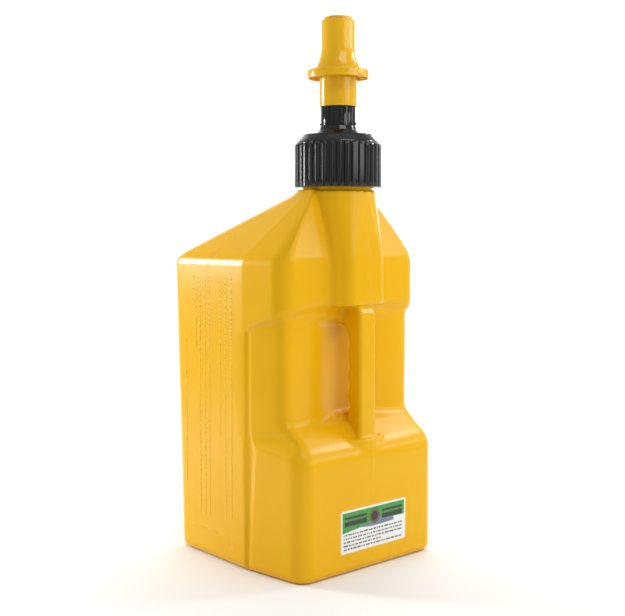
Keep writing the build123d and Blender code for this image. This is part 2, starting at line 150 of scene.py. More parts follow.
SCOOP_FOOT = LEDGE_TOP + 1.0
SCOOP_TOP = 309.0
SCOOP_CORNER = 10.0
SCOOP_EDGE = 9.0
TONGUE_RADIUS = 55.0                        # round shelf at the grip's foot
TONGUE_Y = FRONT + TONGUE_RADIUS + 1.2
TONGUE_FOOT = 122.0
TONGUE_TOP = 162.0
TONGUE_EDGE = 3.0
TONGUE_ROOT_EDGE = 2.0

# Neck
RING_RADIUS = 48.0
RING_GAP = 1.5                              # how much narrower the rib's ring is than the roof's
NECK_RADIUS = 43.0
NECK_WALL = 4.0
NECK_BURY = 120.0
NECK_EDGE = 0.8
NECK_ROOT_EDGE = 3.0
THREAD_FOOT = 492.0
THREAD_PITCH = 6.0
THREAD_TURNS = 2.0
THREAD_DEPTH = 2.0


# ---------------------------------------------------------------- signed distances, in millimetres
def round_max(a, b, radius):
    """Intersection of two shapes with a rounded edge."""
    out = np.hypot(np.maximum(a + radius, 0), np.maximum(b + radius, 0))
    return np.minimum(np.maximum(a, b), -radius) + out


def round_min(a, b, radius):
    """Union of two shapes with a rounded inside corner."""
    return -round_max(-a, -b, radius)


def soft_steps(z, heights, values, spread):
    """Straight runs between the given heights, with their corners softened."""
    total = 0
    for shift in np.linspace(-spread, spread, 5):
        total = total + np.interp(z + shift, heights, values)
    return (total / 5).astype(np.float32)


def half_outline(x, y, points, radius):
    """Distance to a rounded convex outline that is mirrored about x = 0, given from front to back."""
    plane = None
    near = None
    for (ax, ay), (bx, by) in zip(points, points[1:]):
        ex, ey = bx - ax, by - ay
        length = np.maximum(np.hypot(ex, ey), 1e-3)
        px, py = x - ax, y - ay
        side = (px * ey - py * ex) / length
        along = np.clip((px * ex + py * ey) / length ** 2, 0, 1)
        reach = np.hypot(px - along * ex, py - along * ey)
        plane = side if plane is None else np.maximum(plane, side)
        near = reach if near is None else np.minimum(near, reach)
    return np.where(plane < 0, plane, near) - radius


def toward_neck(z):
    """0 up to the shoulder, rising to 1 at the neck's foot."""
    return soft_steps(z, [SHOULDER, NECK_FOOT], [0.0, 1.0], SHOULDER_SPREAD)


def arch_height(x, y):
    """Underside of the upper wall: highest in the middle, falling along the sides."""
    fall = ARCH_FALL * np.clip(y - UPPER_Y, 0, PANEL_Y - UPPER_Y)
    return ARCH_CORNER + (ARCH_MID - ARCH_CORNER) * (1 - (x / HALF) ** 2) - fall


def bend(u, radius):
    """0 below zero and u above it, with the corner rounded over a radius."""
    return np.where(np.abs(u) < radius, (u + radius) ** 2 / (4 * radius), np.maximum(u, 0))


def slope_step(z, low, high, rise, low_radius, high_radius):
    """Rises from 0 at one height to a value at another, with its own rounding at each end."""
    return rise / (high - low) * (bend(z - low, low_radius) - bend(z - high, high_radius))


def slab(value, low, high):
    """Distance outside the band between two limits."""
    return np.abs(value - (low + high) / 2) - (high - low) / 2


def past_plane(x, y, z, plane):
    """Distance outside a plane, given its direction and its distance from the origin."""
    return plane[0] * x + plane[1] * y + plane[2] * z - plane[3]


def flank_distance(x, y, z):
    """Shallow recess in the side, from the block's top to the arch."""
    foot = FLANK_FOOT + FLANK_FALL * (y - PANEL_Y) + (HALF - x)
    flank = HALF + FLANK_SLANT * (y - PANEL_Y + FLANK_GAP) - x
    return round_max(flank, np.maximum(foot - z, z - arch_height(x, y) + FLANK_LIP), FLANK_CORNER)


def body_distance(x, y, z):
    """Jug without its handle: block, ledge, recess, upper wall and hipped roof."""
    hold = np.clip((z - BEND_FOOT) / BEND_RISE, 0, 1) * np.clip((SHOULDER - z) / BEND_FALL, 0, 1)
    level = z - (arch_height(x, y) - ARCH_SIDE) * hold
    step = (ARCH_STEP_FOOT, ARCH_STEP_TOP)
    edges = (ARCH_FOOT_EDGE, ARCH_TOP_EDGE)
    front = FRONT + slope_step(z, BLOCK_TOP, LEDGE_TOP, RECESS_Y - FRONT, BLOCK_EDGE, LEDGE_FOOT_EDGE)
    front = front + slope_step(level, *step, UPPER_Y - RECESS_Y, *edges)
    side = HALF - slope_step(z, BLOCK_TOP, LEDGE_TOP, RECESS_INSET, BLOCK_SIDE_EDGE, LEDGE_SIDE_EDGE)
    side = side + slope_step(level, *step, RECESS_INSET, *edges)
    rear = REAR_TOP - REAR_LEAN * (1 - z / SHOULDER)
    rear_half = HALF - (rear - CORNER - PANEL_Y) * math.tan(TAPER) - CORNER / math.cos(TAPER)
    t = toward_neck(z)
    keep = 1 - t
    corners = [
        (0 * keep, (front + CORNER) * keep + NECK_Y * t),
        ((side - CORNER) * keep, (front + CORNER) * keep + NECK_Y * t),
        ((HALF - CORNER) * keep, PANEL_Y * keep + NECK_Y * t),
        (rear_half * keep, (rear - CORNER) * keep + NECK_Y * t),
        (0 * keep, (rear - CORNER) * keep + NECK_Y * t),
    ]
    walls = half_outline(x, y, corners, CORNER * keep + RING_RADIUS * t)
    walls = round_max(walls, -z, BASE_EDGE)
    walls = round_max(walls, past_plane(x, y, z, FACET), FACET_EDGE)
    walls = round_max(walls, -flank_distance(x, y, z), FLANK_EDGE)
    return np.maximum(walls, z - NECK_FOOT - ROOF_LAP)


def rib_distance(x, y, z):
    """Broad rib that runs down from the neck to the arch."""
    t = toward_neck(z)
    keep = 1 - t
    corners = [
        (0 * keep, (RIB_Y + RIB_CORNER) * keep + NECK_Y * t),
        ((RIB_FRONT_HALF - RIB_CORNER) * keep, (RIB_Y + RIB_CORNER) * keep + NECK_Y * t),
        ((RIB_ROOT_HALF - RIB_CORNER) * keep, UPPER_Y * keep + NECK_Y * t),
        ((RIB_ROOT_HALF - RIB_CORNER) * keep, NECK_Y + 0 * keep),
        (0 * keep, NECK_Y + 0 * keep),
    ]
    rib = half_outline(x, y, corners, RIB_CORNER * keep + (RING_RADIUS - RING_GAP) * t)
    rib = round_max(rib, arch_height(x, y) - RIB_DROP - z, RIB_FOOT_EDGE)
    return np.maximum(rib, z - NECK_FOOT)


def hole_distance(y, z):
    """Hand hole seen from the side, with the finger grooves."""
    rear = RIB_Y + GRIP_DEPTH
    hole = round_max(rear - y, slab(z, HOLE_FOOT, HOLE_TOP), HOLE_CORNER)
    radius = (SCALLOP_PITCH ** 2 / 4 + SCALLOP_DEPTH ** 2) / (2 * SCALLOP_DEPTH)
    for i in range(SCALLOPS):
        height = SCALLOP_MIDDLE + (i - (SCALLOPS - 1) / 2) * SCALLOP_PITCH
        groove = np.hypot(y - (rear - SCALLOP_DEPTH + radius), z - height) - radius
        hole = np.minimum(hole, np.maximum(groove, y - rear - 2 * SCALLOP_DEPTH))
    return hole


def grip_distance(x, y, z):
    """Upright grip with its webs above and below the hand hole."""
    front = RIB_Y + GRIP_TUCK * np.clip((z - ARCH_MID) / GRIP_TUCK_RISE + 1, 0, 1)
    bar = round_max(x - GRIP_HALF, front - y, GRIP_CORNER)
    bar = np.maximum(bar, y - (RECESS_Y + SCOOP_DEPTH + GRIP_SINK))
    bar = np.maximum(bar, np.maximum(GRIP_FOOT - z, z - GRIP_TOP))
    return round_max(bar, -hole_distance(y, z), HOLE_EDGE)


def scoop_distance(x, y, z):
    """Finger scoop in the wall behind the grip."""
    ends = math.hypot(1, SCOOP_SOFTNESS)
    depth = SCOOP_DEPTH * (ends - np.hypot(x / SCOOP_HALF, SCOOP_SOFTNESS)) / (ends - SCOOP_SOFTNESS)
    wall = SCOOP_STEEPNESS * (y - RECESS_Y - depth)
    return round_max(wall, slab(z, SCOOP_FOOT, SCOOP_TOP), SCOOP_CORNER)


def groove_distance(x, y, z):
    """Upright groove in front of the side panel, widest just under the block's top."""
    radius = np.interp(z, GROOVE_HEIGHTS, GROOVE_RADII).astype(np.float32)
    half_width = np.sqrt(2 * radius * GROOVE_DEPTH - GROOVE_DEPTH ** 2)
    middle = PANEL_Y - GROOVE_INSET - half_width
    groove = np.hypot(x - (HALF + radius - GROOVE_DEPTH), y - middle) - radius
    return round_max(groove, z - GROOVE_TOP, GROOVE_END)


def jug_distance(x, y, z):
    """Whole jug, up to the top of the neck."""
    t = toward_neck(z)
    jug = round_min(body_distance(x, y, z), rib_distance(x, y, z), RIB_ROOT_EDGE * (1 - t) + 1)
    jug = round_max(jug, -scoop_distance(x, y, z), SCOOP_EDGE)
    shelf = np.hypot(x, y - TONGUE_Y) - TONGUE_RADIUS
    shelf = round_max(shelf, slab(z, TONGUE_FOOT, TONGUE_TOP), TONGUE_EDGE)
    jug = round_min(jug, shelf, TONGUE_ROOT_EDGE)
    jug = round_min(jug, grip_distance(x, y, z), GRIP_ROOT_EDGE)
    jug = round_max(jug, -groove_distance(x, y, z), GROOVE_EDGE)
    neck = np.hypot(x, y - NECK_Y) - NECK_RADIUS
    neck = round_max(neck, slab(z, NECK_TOP - NECK_BURY, NECK_TOP), NECK_EDGE)
    return round_min(jug, neck, NECK_ROOT_EDGE)


def grid_mesh(distance, cell, level, low, high):
    """Vertices (mm) and faces of the surface where a mirrored distance equals a level."""
    x = np.arange(0, high[0] + cell, cell, dtype=np.float32)
    y = np.arange(low[1], high[1] + cell, cell, dtype=np.float32)
    z = np.arange(low[2], high[2] + cell, cell, dtype=np.float32)
    half_values = distance(x[:, None, None], y[None, :, None], z[None, None, :])
    half_values = np.broadcast_to(half_values, (len(x), len(y), len(z)))
    values = np.concatenate([half_values[:0:-1], half_values]) - level
    grid = openvdb.FloatGrid(float(4 * cell))
    grid.copyFromArray(np.ascontiguousarray(np.clip(values, -4 * cell, 4 * cell), dtype=np.float32))
    points, quads = grid.convertToQuads(0.0)
    points = points * cell + np.array([-(len(x) - 1) * cell, low[1], low[2]])
    return points, quads


def jug_at(points):
    """Distance at loose points, in millimetres."""
    return jug_distance(np.abs(points[:, 0]), points[:, 1], points[:, 2])


def gradient_at(points, step=0.25):
    """Outward direction of the jug's surface at loose points."""
    out = np.empty_like(points)
    for axis in range(3):
        shift = np.zeros(3)
        shift[axis] = step
        out[:, axis] = (jug_at(points + shift) - jug_at(points - shift)) / (2 * step)
    return out


# ---------------------------------------------------------------- meshes
def placed(name, mesh, *materials):
    """Object in the scene that shows a mesh."""
    for material in materials:
        mesh.materials.append(material)
    obj = bpy.data.objects.new(name, mesh)
    scene.collection.objects.link(obj)
    return obj


def new_object(name, points, faces, material):
    """Smooth mesh object from points in millimetres."""
    mesh = bpy.data.meshes.new(name)
    mesh.from_pydata((np.asarray(points, dtype=float) * MM).tolist(), [], [list(map(int, f)) for f in faces])
    mesh.update()
    mesh.shade_smooth()
    return placed(name, mesh, material)


def drop_loose(obj):
    """Removes vertices that no face uses."""
    work = bmesh.new()
    work.from_mesh(obj.data)
    bmesh.ops.delete(work, geom=[v for v in work.verts if not v.link_faces], context="VERTS")
    work.to_mesh(obj.data)
    work.free()


def rides(obj, body, slot, *nodes):
    """Parents a piece to the empty of the body it moves with, and hides the CAD nodes it stands in for."""
    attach(obj, body)
    if nodes:
        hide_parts(*nodes)
    return obj


def rounded_outline(outline, steps=5):
    """Closed (radius, height, fillet) outline with its corners rounded, as (radius, height) points."""
    out = []
    count = len(outline)
    for i, (r, z, fillet) in enumerate(outline):
        here = np.array([r, z], dtype=float)
        before = np.array(outline[i - 1][:2], dtype=float) - here
        after = np.array(outline[(i + 1) % count][:2], dtype=float) - here
        la, lb = np.linalg.norm(before), np.linalg.norm(after)
        before, after = before / la, after / lb
        half_angle = math.acos(max(-1, min(1, float(before @ after)))) / 2
        reach = min(fillet / math.tan(half_angle), 0.48 * la, 0.48 * lb) if fillet else 0
        if reach < 0.02:
            out.append(here)
            continue
        start, end = here + before * reach, here + after * reach
        for k in range(steps + 1):
            t = k / steps
            out.append((1 - t) ** 2 * start + 2 * t * (1 - t) * here + t ** 2 * end)
    return np.array(out)


def turned(name, outline, material, segments=128, bulge=None, sharp=40):
    """Piece turned about the neck's axis from a closed outline; bulge moves points out by angle."""
    line = rounded_outline(outline)
    angle = np.arange(segments) * 2 * math.pi / segments
    radius = np.repeat(line[:, 0][:, None], segments, axis=1)
    height = np.repeat(line[:, 1][:, None], segments, axis=1)
    if bulge is not None:
        radius = radius + bulge(angle[None, :], radius, height)
    points = np.stack([radius * np.cos(angle), NECK_Y + radius * np.sin(angle), height], axis=-1)
    rows, columns = radius.shape
    index = np.arange(rows * columns).reshape(rows, columns)
    below = np.roll(index, -1, axis=0)
    faces = np.stack([index, np.roll(index, -1, axis=1), np.roll(below, -1, axis=1), below], axis=-1)
    obj = new_object(name, points.reshape(-1, 3), faces.reshape(-1, 4), material)
    fix_normals(obj)
    obj.data.shade_smooth()
    obj.data.set_sharp_from_angle(angle=math.radians(sharp))
    return obj


def fix_normals(obj):
    """Makes all faces point out."""
    work = bmesh.new()
    work.from_mesh(obj.data)
    bmesh.ops.remove_doubles(work, verts=work.verts, dist=1e-7)
    bmesh.ops.recalc_face_normals(work, faces=work.faces)
    work.to_mesh(obj.data)
    work.free()


def bars(name, places, material, bevel):
    """Rounded bars in one mesh: (size, matrix) pairs, sizes in millimetres, matrices in metres."""
    work = bmesh.new()
    for size, matrix in places:
        part = bmesh.new()
        bmesh.ops.create_cube(part, size=1)
        bmesh.ops.scale(part, vec=Vector(size) * MM, verts=part.verts)
        bmesh.ops.bevel(
            part, geom=list(part.edges), offset=bevel * MM, segments=2, affect="EDGES", profile=0.5)
        part.transform(matrix)
        piece = bpy.data.meshes.new("piece")
        part.to_mesh(piece)
        part.free()
        work.from_mesh(piece)
        bpy.data.meshes.remove(piece)
    mesh = bpy.data.meshes.new(name)
    work.to_mesh(mesh)
    work.free()
    mesh.shade_smooth()
    mesh.set_sharp_from_angle(angle=math.radians(50))
    return placed(name, mesh, material)


STEPS_PER_TURN = 72
RIDGE_SINK = 0.4                            # how far a thread's root runs into its wall


def helix_ridge(name, radius, depth, foot, turns, material):
    """Helical thread ridge that runs out smoothly at both ends; depth is negative for an inside thread."""
    count = int(STEPS_PER_TURN * turns)
    sink = math.copysign(RIDGE_SINK, depth)
    profile = [
        (-sink, -1.1), (depth * 0.9, -0.55), (depth, -0.3), (depth, 0.3), (depth * 0.9, 0.55), (-sink, 1.1),
    ]
    points = []
    for i in range(count + 1):
        t = i / count
        angle = 2 * math.pi * turns * t
        fade = min(1, 8 * t * turns / 2, 8 * (1 - t) * turns / 2) if i not in (0, count) else 0
        for out, up in profile:
            r = radius - sink + (out + sink) * (0.05 + 0.95 * fade)
            z = foot + THREAD_PITCH * turns * t + up
            points.append((r * math.cos(angle), NECK_Y + r * math.sin(angle), z))
    width = len(profile)
    faces = []
    for i in range(count):
        for j in range(width):
            a, b = i * width + j, i * width + (j + 1) % width
            faces.append((a, b, b + width, a + width))
    faces.append(tuple(range(width)))
    faces.append(tuple(count * width + j for j in range(width)))
    obj = new_object(name, points, faces, material)
    fix_normals(obj)
    obj.data.shade_smooth()
    return obj


# ---------------------------------------------------------------- materials
class Nodes:
    """Short hand for building one procedural material."""

    def __init__(self, name):
        self.material = bpy.data.materials.new(name)
        self.material.use_nodes = True
        self.tree = self.material.node_tree
        self.shader = self.tree.nodes["Principled BSDF"]
        self.place = self.add("ShaderNodeTexCoord").outputs["Object"]

    def add(self, kind, **values):
        node = self.tree.nodes.new(kind)
        for key, value in values.items():
            setattr(node, key, value)
        return node

    def link(self, source, target):
        self.tree.links.new(source, target)

    def set(self, **values):
        for key, value in values.items():
            self.shader.inputs[key.replace("_", " ")].default_value = value

    def stretched(self, scale):
        mapping = self.add("ShaderNodeMapping")
        mapping.inputs["Scale"].default_value = scale
        self.link(self.place, mapping.inputs["Vector"])
        return mapping.outputs["Vector"]

    def noise(self, scale, detail=3.0, roughness=0.55, place=None):
        node = self.add("ShaderNodeTexNoise")
        node.inputs["Scale"].default_value = scale
        node.inputs["Detail"].default_value = detail
        node.inputs["Roughness"].default_value = roughness
        self.link(place or self.place, node.inputs["Vector"])
        return node.outputs["Fac"]

    def ramp(self, source, stops):
        node = self.add("ShaderNodeValToRGB")
        elements = node.color_ramp.elements
        while len(elements) < len(stops):
            elements.new(0.5)
        for element, (position, colour) in zip(elements, stops):
            element.position = position
            element.color = (*colour, 1)
        self.link(source, node.inputs["Fac"])
        return node.outputs["Color"]

    def spread(self, source, low, high, start=0.3, end=0.7):
        node = self.add("ShaderNodeMapRange")
        for key, value in zip(("From Min", "From Max", "To Min", "To Max"), (start, end, low, high)):
            node.inputs[key].default_value = value
        self.link(source, node.inputs["Value"])
        return node.outputs["Result"]

    def bump(self, source, distance, before=None):
        node = self.add("ShaderNodeBump")
        node.inputs["Strength"].default_value = 1.0
        node.inputs["Distance"].default_value = distance
        self.link(source, node.inputs["Height"])
        if before is not None:
            self.link(before, node.inputs["Normal"])
        return node.outputs["Normal"]

    def math(self, operation, a, b=None):
        node = self.add("ShaderNodeMath", operation=operation)
        self.link(a, node.inputs[0])
        if b is not None:
            if isinstance(b, (int, float)):
                node.inputs[1].default_value = b
            else:
                self.link(b, node.inputs[1])
        return node.outputs[0]


SEAM_HALF_WIDTHS = (0.0003, 0.0011)         # parting line at X = 0, in metres: its flat and its foot
SEAM_RISE = 0.00022


def plastic(name, dark, light, rough, grain, wave, gloss=0.5, subsurface=0.0, seam=False):
    """Moulded plastic: slightly mottled colour, uneven gloss, fine grain, faint scuffs, soft waviness."""
    n = Nodes(name)
    n.link(n.ramp(n.noise(7.0, 4.0), [(0.35, dark), (0.65, light)]), n.shader.inputs["Base Color"])
    scuff = n.noise(60.0, 6.0, 0.7, n.stretched((1.0, 1.0, 0.15)))
    mixed = n.math("ADD", n.math("MULTIPLY", n.noise(22.0, 5.0), 0.6), n.math("MULTIPLY", scuff, 0.4))
    n.link(n.spread(mixed, rough[0], rough[1]), n.shader.inputs["Roughness"])
    normal = n.bump(n.noise(18.0, 2.0), wave)
    normal = n.bump(n.noise(1400.0, 3.0, 0.6), grain, before=normal)
    if seam:
        split = n.add("ShaderNodeSeparateXYZ")
        n.link(n.place, split.inputs["Vector"])
        line = n.spread(n.math("ABSOLUTE", split.outputs["X"]), 1.0, 0.0, *SEAM_HALF_WIDTHS)
        normal = n.bump(line, SEAM_RISE, before=normal)
    n.link(normal, n.shader.inputs["Normal"])
    n.set(Subsurface_Weight=subsurface, Subsurface_Radius=(1.0, 0.8, 0.1), Subsurface_Scale=0.003)
    n.set(Specular_IOR_Level=gloss)
    return n.material


def metal(name, dark, light, rough):
    """Zinc-plated steel: fine grain and patchy gloss."""
    n = Nodes(name)
    n.link(n.ramp(n.noise(220.0, 5.0), [(0.3, dark), (0.7, light)]), n.shader.inputs["Base Color"])
    n.link(n.spread(n.noise(500.0, 4.0), rough[0], rough[1]), n.shader.inputs["Roughness"])
    n.link(n.bump(n.noise(1500.0, 3.0), 0.00003), n.shader.inputs["Normal"])
    n.set(Metallic=1.0)
    return n.material


def film(name, dark, light):
    """Printed film: faint print grain, slightly creased."""
    n = Nodes(name)
    n.link(n.ramp(n.noise(900.0, 4.0), [(0.3, dark), (0.7, light)]), n.shader.inputs["Base Color"])
    n.link(n.spread(n.noise(80.0, 5.0), 0.22, 0.34), n.shader.inputs["Roughness"])
    normal = n.bump(n.noise(45.0, 2.0), 0.0002)
    n.link(n.bump(n.noise(1800.0, 2.0), 0.00002, before=normal), n.shader.inputs["Normal"])
    return n.material


# Colours, then roughness limits, grain and waviness in metres, gloss, subsurface
jug_plastic = plastic(
    "jug_plastic", (0.800, 0.425, 0.0015), (0.825, 0.450, 0.0025),
    (0.20, 0.29), 0.00002, 0.0006, gloss=0.20, subsurface=0.04, seam=True)
cap_plastic = plastic(
    "cap_plastic", (0.79, 0.43, 0.0015), (0.82, 0.46, 0.0025),
    (0.12, 0.20), 0.00001, 0.0001, gloss=0.45, subsurface=0.05)
black_plastic = plastic(
    "black_plastic", (0.006, 0.006, 0.007), (0.012, 0.012, 0.013), (0.06, 0.13), 0.00001, 0.0001)
dull_black = plastic(
    "dull_black", (0.010, 0.010, 0.010), (0.018, 0.018, 0.018), (0.45, 0.65), 0.00003, 0.0001)
rubber = plastic(
    "rubber", (0.012, 0.012, 0.012), (0.022, 0.022, 0.021), (0.55, 0.75), 0.00004, 0.0001)
steel = metal("zinc_steel", (0.50, 0.50, 0.49), (0.66, 0.66, 0.64), (0.22, 0.40))
label_white = film("label_white", (0.80, 0.80, 0.79), (0.86, 0.86, 0.85))
label_green = film("label_green", (0.035, 0.27, 0.030), (0.050, 0.33, 0.040))
label_dark = film("label_dark", (0.020, 0.022, 0.018), (0.040, 0.038, 0.030))
label_brown = film("label_brown", (0.10, 0.055, 0.025), (0.20, 0.12, 0.05))
label_blue = film("label_blue", (0.10, 0.16, 0.24), (0.22, 0.28, 0.36))
label_grey = film("label_grey", (0.10, 0.10, 0.12), (0.16, 0.16, 0.18))


# ---------------------------------------------------------------- jug
SHELL_CELL = 2.5
INNER_CELL = 4.0
MARGIN = 6.0
GRID_LOW = (0, FRONT - MARGIN, -MARGIN)
GRID_HIGH = (HALF + MARGIN, REAR_TOP + MARGIN, NECK_TOP + MARGIN)
BORE_GAP = 0.3                              # the shell stops this far inside the neck's outer face
INNER_STOP = NECK_FOOT - 6.0
BORE_FOOT = NECK_FOOT - 9.0


def onto_surface(points):
    """Points moved onto the jug's surface."""
    for _ in range(3):
        slope = gradient_at(points)
        size = np.maximum((slope ** 2).sum(axis=1), 0.25)
        move = -(jug_at(points) / size)[:, None] * slope
        points = points + np.clip(move, -1, 1)
    return points


def make_shell():
    """Outside face of the jug, with normals from its distance."""
    points, faces = grid_mesh(jug_distance, SHELL_CELL, 0.0, GRID_LOW, GRID_HIGH)
    points = onto_surface(points.astype(float))
    reach = np.hypot(points[:, 0], points[:, 1] - NECK_Y)
    inside = (reach < NECK_RADIUS - BORE_GAP) & (points[:, 2] > NECK_FOOT)
    obj = new_object("jug_shell", points, faces[~inside[faces].all(axis=1)], jug_plastic)
    drop_loose(obj)
    mesh = obj.data
    spots = np.empty(len(mesh.vertices) * 3)
    mesh.vertices.foreach_get("co", spots)
    slope = gradient_at(spots.reshape(-1, 3) / MM)
    slope /= np.maximum(np.linalg.norm(slope, axis=1), 1e-6)[:, None]
    mesh.shade_smooth()
    first = mesh.polygons[0]
    if float(slope[first.vertices[0]] @ np.array(first.normal)) < 0:
        mesh.flip_normals()
    mesh.normals_split_custom_set_from_vertices(slope.tolist())
    return obj


rides(make_shell(), "jug", "jug_plastic", "jug_body")


def make_inside():
    """Inside face of the shell: the same form, one wall further in."""
    points, faces = grid_mesh(jug_distance, INNER_CELL, -WALL, GRID_LOW, GRID_HIGH)
    keep = ~(points[:, 2] > INNER_STOP)[faces].all(axis=1)
    obj = new_object("jug_inside", points, faces[keep], jug_plastic)
    drop_loose(obj)
    return obj


def make_neck():
    """Rim and bore of the neck."""
    bore = NECK_RADIUS - NECK_WALL
    return turned("neck_bore", [
        (bore, BORE_FOOT, 0), (NECK_RADIUS - 0.2, BORE_FOOT, 0),
        (NECK_RADIUS - 0.2, NECK_TOP, 1.2), (bore, NECK_TOP, 1.0),
    ], jug_plastic)


rides(make_inside(), "jug", "jug_plastic")
rides(make_neck(), "jug", "jug_plastic")
neck_thread = helix_ridge("neck_thread", NECK_RADIUS, THREAD_DEPTH, THREAD_FOOT, THREAD_TURNS, jug_plastic)
rides(neck_thread, "jug", "jug_plastic")

# Raised rows on both side panels: (distance behind the panel's front edge, top, foot, dash width)
MARK_ROWS = [
    (26, 361, 60, 5.0), (39, 361, 61, 3.0), (51, 361, 165, 3.0), (76, 361, 54, 3.0), (86, 361, 52, 3.0),
    (98, 361, 54, 3.0), (107.5, 361, 258, 3.0), (113.5, 361, 321, 3.0), (132, 280, 90, 3.0),
]
MARK_RISE = 0.35
MARK_LENGTHS = (2.2, 3.2, 4.4, 5.6, 7.0)
BOLD_WIDTH = 4.0                            # wider rows have longer dashes
MARK_BEVEL = 0.25
FOOT_MARKS = [(30, 52), (58, 80), (86, 124)]


def panel_place(side, back, z):
    """Matrix of a spot on a side panel: X out of the panel, Y along it."""
    y = back * math.cos(TAPER)
    spot = Vector((side * (HALF - y * math.tan(TAPER)), PANEL_Y + y, z)) * MM
    turn = Matrix.Rotation(side * TAPER, 4, "Z")
    return Matrix.Translation(spot) @ turn


def make_marks(side, name):
    """Rows of raised dashes, with no lettering."""
    places = []
    for back, top, foot, width in MARK_ROWS:
        z = top
        while z > foot:
            length = rng.choice(MARK_LENGTHS) * (1.25 if width > BOLD_WIDTH else 1)
            places.append(((2 * MARK_RISE, width, length), panel_place(side, back, z - length / 2)))
            z -= length + (1.3 if rng.random() < 0.8 else 3.6)
    for near, far in FOOT_MARKS:
        place = panel_place(side, (near + far) / 2, 34 + near * 0.03)
        places.append(((2 * MARK_RISE, far - near, 3.0), place))
    return bars(name, places, jug_plastic, MARK_BEVEL)


rides(make_marks(-1, "marks_left"), "jug", "jug_plastic")
rides(make_marks(1, "marks_right"), "jug", "jug_plastic")

# ---------------------------------------------------------------- label
label_low, label_high = (np.array(corner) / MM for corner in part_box("front_label"))
LABEL_MATERIALS = [label_white, label_green, label_dark, label_brown, label_blue, label_grey]
WHITE, GREEN, DARK, BROWN, BLUE, GREY = range(6)
DASH_ROWS = 5
DASH_PITCH = 4.4
SHORT_ROW = 3
HILLS = [
    (-30, 0), (-24, 3), (-17, 2), (-8, 6), (0, 4), (9, 8), (16, 5), (24, 6),
    (33, 2), (33, -1), (10, -2), (-12, -2),
]


def make_label():
    """Sheet with a plain green band, dark bars beside a round emblem, and rows of grey dashes."""
    work = bmesh.new()
    x0, x1 = float(label_low[0]), float(label_high[0])
    z0, z1 = float(label_low[2]), float(label_high[2])
    face_y = float(label_low[1])

    def sheet(outline, depth, material):
        corners = [work.verts.new((x * MM, (face_y + depth) * MM, z * MM)) for x, z in outline]
        face = work.faces.new(corners)
        face.material_index = material
        face.normal_update()
        if face.normal.y > 0:
            face.normal_flip()
        return face

    def rounded_box(a, b, c, d, radius):
        points = []
        for cx, cz, start in ((b - radius, c + radius, 270), (b - radius, d - radius, 0),
                              (a + radius, d - radius, 90), (a + radius, c + radius, 180)):
            for k in range(6):
                t = math.radians(start + 18 * k)
                points.append((cx + radius * math.cos(t), cz + radius * math.sin(t)))
        return points

    def disc(middle, radius):
        turn = [math.radians(15 * k) for k in range(24)]
        return [(middle[0] + radius * math.cos(t), middle[1] + radius * math.sin(t)) for t in turn]

    base = sheet(rounded_box(x0, x1, z0, z1, 3.0), 0.08, WHITE)
    edge = bmesh.ops.extrude_face_region(work, geom=[base])
    for vert in (v for v in edge["geom"] if isinstance(v, bmesh.types.BMVert)):
        vert.co.y += 0.2 * MM
    rim = 2.6
    left, right, top = x0 + rim, x1 - rim, z1 - rim
    band = [(left, top), (left, top - 25)]
    for k in range(13):
        t = k / 12
        band.append((left + (right - left) * t, top - 25 + 4.5 * math.sin(2.1 * t) + 3.0 * t))
    band.append((right, top))
    sheet(band, 0.06, GREEN)
    middle = (left + right) / 2
    sheet([(middle + 4 + x, top - 21.5 + z) for x, z in HILLS], 0.04, BLUE)
    emblem = (middle + 1, top - 11.5)
    sheet(disc(emblem, 9.5), 0.03, BROWN)
    sheet(disc(emblem, 6.0), 0.02, DARK)
    for start, stop in ((left + 4, emblem[0] - 14), (emblem[0] + 14, right - 4)):
        for foot, height in ((top - 17, 6.0), (top - 8.5, 3.0)):
            sheet([(start, foot), (stop, foot), (stop, foot + height), (start, foot + height)], 0.02, DARK)
    for row in range(DASH_ROWS):
        z = z0 + 21.5 - row * DASH_PITCH
        x = left + 2
        stop = right - (45 if row == SHORT_ROW else 4)
        while x < stop:
            length = min(rng.choice((2.0, 3.4, 4.6, 6.0, 7.5)), stop - x + 0.5)
            height = 1.7 if rng.random() < 0.7 else 2.1
            sheet([(x, z), (x + length, z), (x + length, z + height), (x, z + height)], 0.04, GREY)
            x += length + 1.4
    mesh = bpy.data.meshes.new("label_sheet")
    bmesh.ops.triangulate(work, faces=[f for f in work.faces if len(f.verts) > 6])
    work.to_mesh(mesh)
    work.free()
    return placed("label_sheet", mesh, *LABEL_MATERIALS)


rides(make_label(), "jug", "label_film", "front_label")

# ---------------------------------------------------------------- collar
collar_low, collar_high = (np.array(corner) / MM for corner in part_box("screw_collar"))
COLLAR_RADIUS = float(collar_high[0])
COLLAR_FOOT, COLLAR_TOP = float(collar_low[2]), float(collar_high[2])
COLLAR_BORE = NECK_RADIUS + 2.8
COLLAR_RIB_TOP = COLLAR_TOP - 10.5
COLLAR_RIBS = 36
COLLAR_RIB_RISE = 2.6
COLLAR_CORE = COLLAR_RADIUS - COLLAR_RIB_RISE
EYE = 31.0                                  # radius of the hole that the cone comes up through


def collar_ribs(angle, radius, height):
    """Rounded upright ribs on the collar's outside, dying into the shoulder at the top."""
    u = (angle * COLLAR_RIBS / (2 * math.pi)) % 1
    rib = np.clip((0.33 - np.abs(u - 0.5)) / 0.11, 0, 1)
    rib = rib * rib * (3 - 2 * rib)
    fade = np.clip((COLLAR_RIB_TOP - 0.2 - height) / 3.0, 0, 1) ** 0.5
    outside = np.clip((radius - (COLLAR_CORE - 0.3)) / 0.2, 0, 1)
    return COLLAR_RIB_RISE * rib * fade * outside


